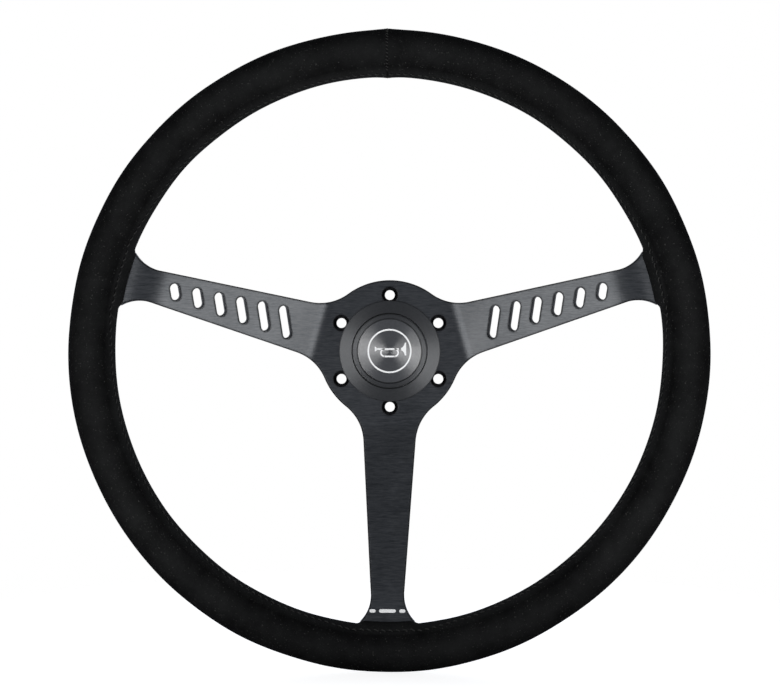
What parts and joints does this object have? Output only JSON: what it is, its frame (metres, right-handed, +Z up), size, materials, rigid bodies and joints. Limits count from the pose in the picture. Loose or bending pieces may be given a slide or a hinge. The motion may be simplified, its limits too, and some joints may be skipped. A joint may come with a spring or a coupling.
{
  "type": "steering wheel",
  "caption": "Dished three-spoke sport steering wheel with a suede-covered grip, slotted brushed spokes, a six-bolt hub and a sprung horn button.",
  "frame": {"origin": "centre of the hub's bolt circle, on the hub's back face", "axes": "+Y along the wheel's axis, away from the driver; +Z up, with the single spoke pointing down; +X to the driver's right"},
  "size_m": [0.38, 0.0891, 0.3806],
  "materials": {
    "black_anodised": "black anodised, brushed straight across",
    "bare_aluminium": "mill finish, hidden in the grip",
    "foam": "moulded polyurethane foam, hidden under the cover",
    "suede": "black suede with a short matt nap",
    "thread": "black waxed sewing thread",
    "dark_anodised": "dark grey anodised, turned",
    "black_plastic": "moulded, fine texture",
    "spring_steel": "plain spring steel",
    "insulator": "pressed laminate board",
    "contact_brass": "plain brass",
    "spun_aluminium": "dark, spun in fine circles"
  },
  "bodies": {
    "wheel": {"spoke_plate": "black_anodised", "armature_ring": "bare_aluminium", "spoke_rivets": "bare_aluminium", "rim_foam": "foam", "rim_cover": "suede", "collar_left": "suede", "collar_right": "suede", "collar_bottom": "suede", "seam_thread_top": "thread", "seam_thread_left": "thread", "seam_thread_right": "thread", "joint_thread": "thread", "horn_bezel": "dark_anodised", "horn_sleeve": "black_plastic", "sleeve_clips": "spring_steel", "contact_base": "insulator", "base_screws": "spring_steel", "spring_seat": "contact_brass", "fixed_contact": "contact_brass", "terminal_live": "contact_brass", "terminal_earth": "contact_brass", "return_spring": "spring_steel"},
    "horn_button": {"horn_cap": "dark_anodised", "badge_plate": "spun_aluminium", "cap_retainer": "spring_steel", "moving_contact": "contact_brass"}
  },
  "joints": [
    {"name": "horn_press", "type": "slide", "parent": "wheel", "child": "horn_button", "axis": [0, 1, 0], "range_m": [0, 0.002], "stiffness_N_per_m": 1200, "springref_m": -0.004, "deforming": ["return_spring"]}
  ]
}
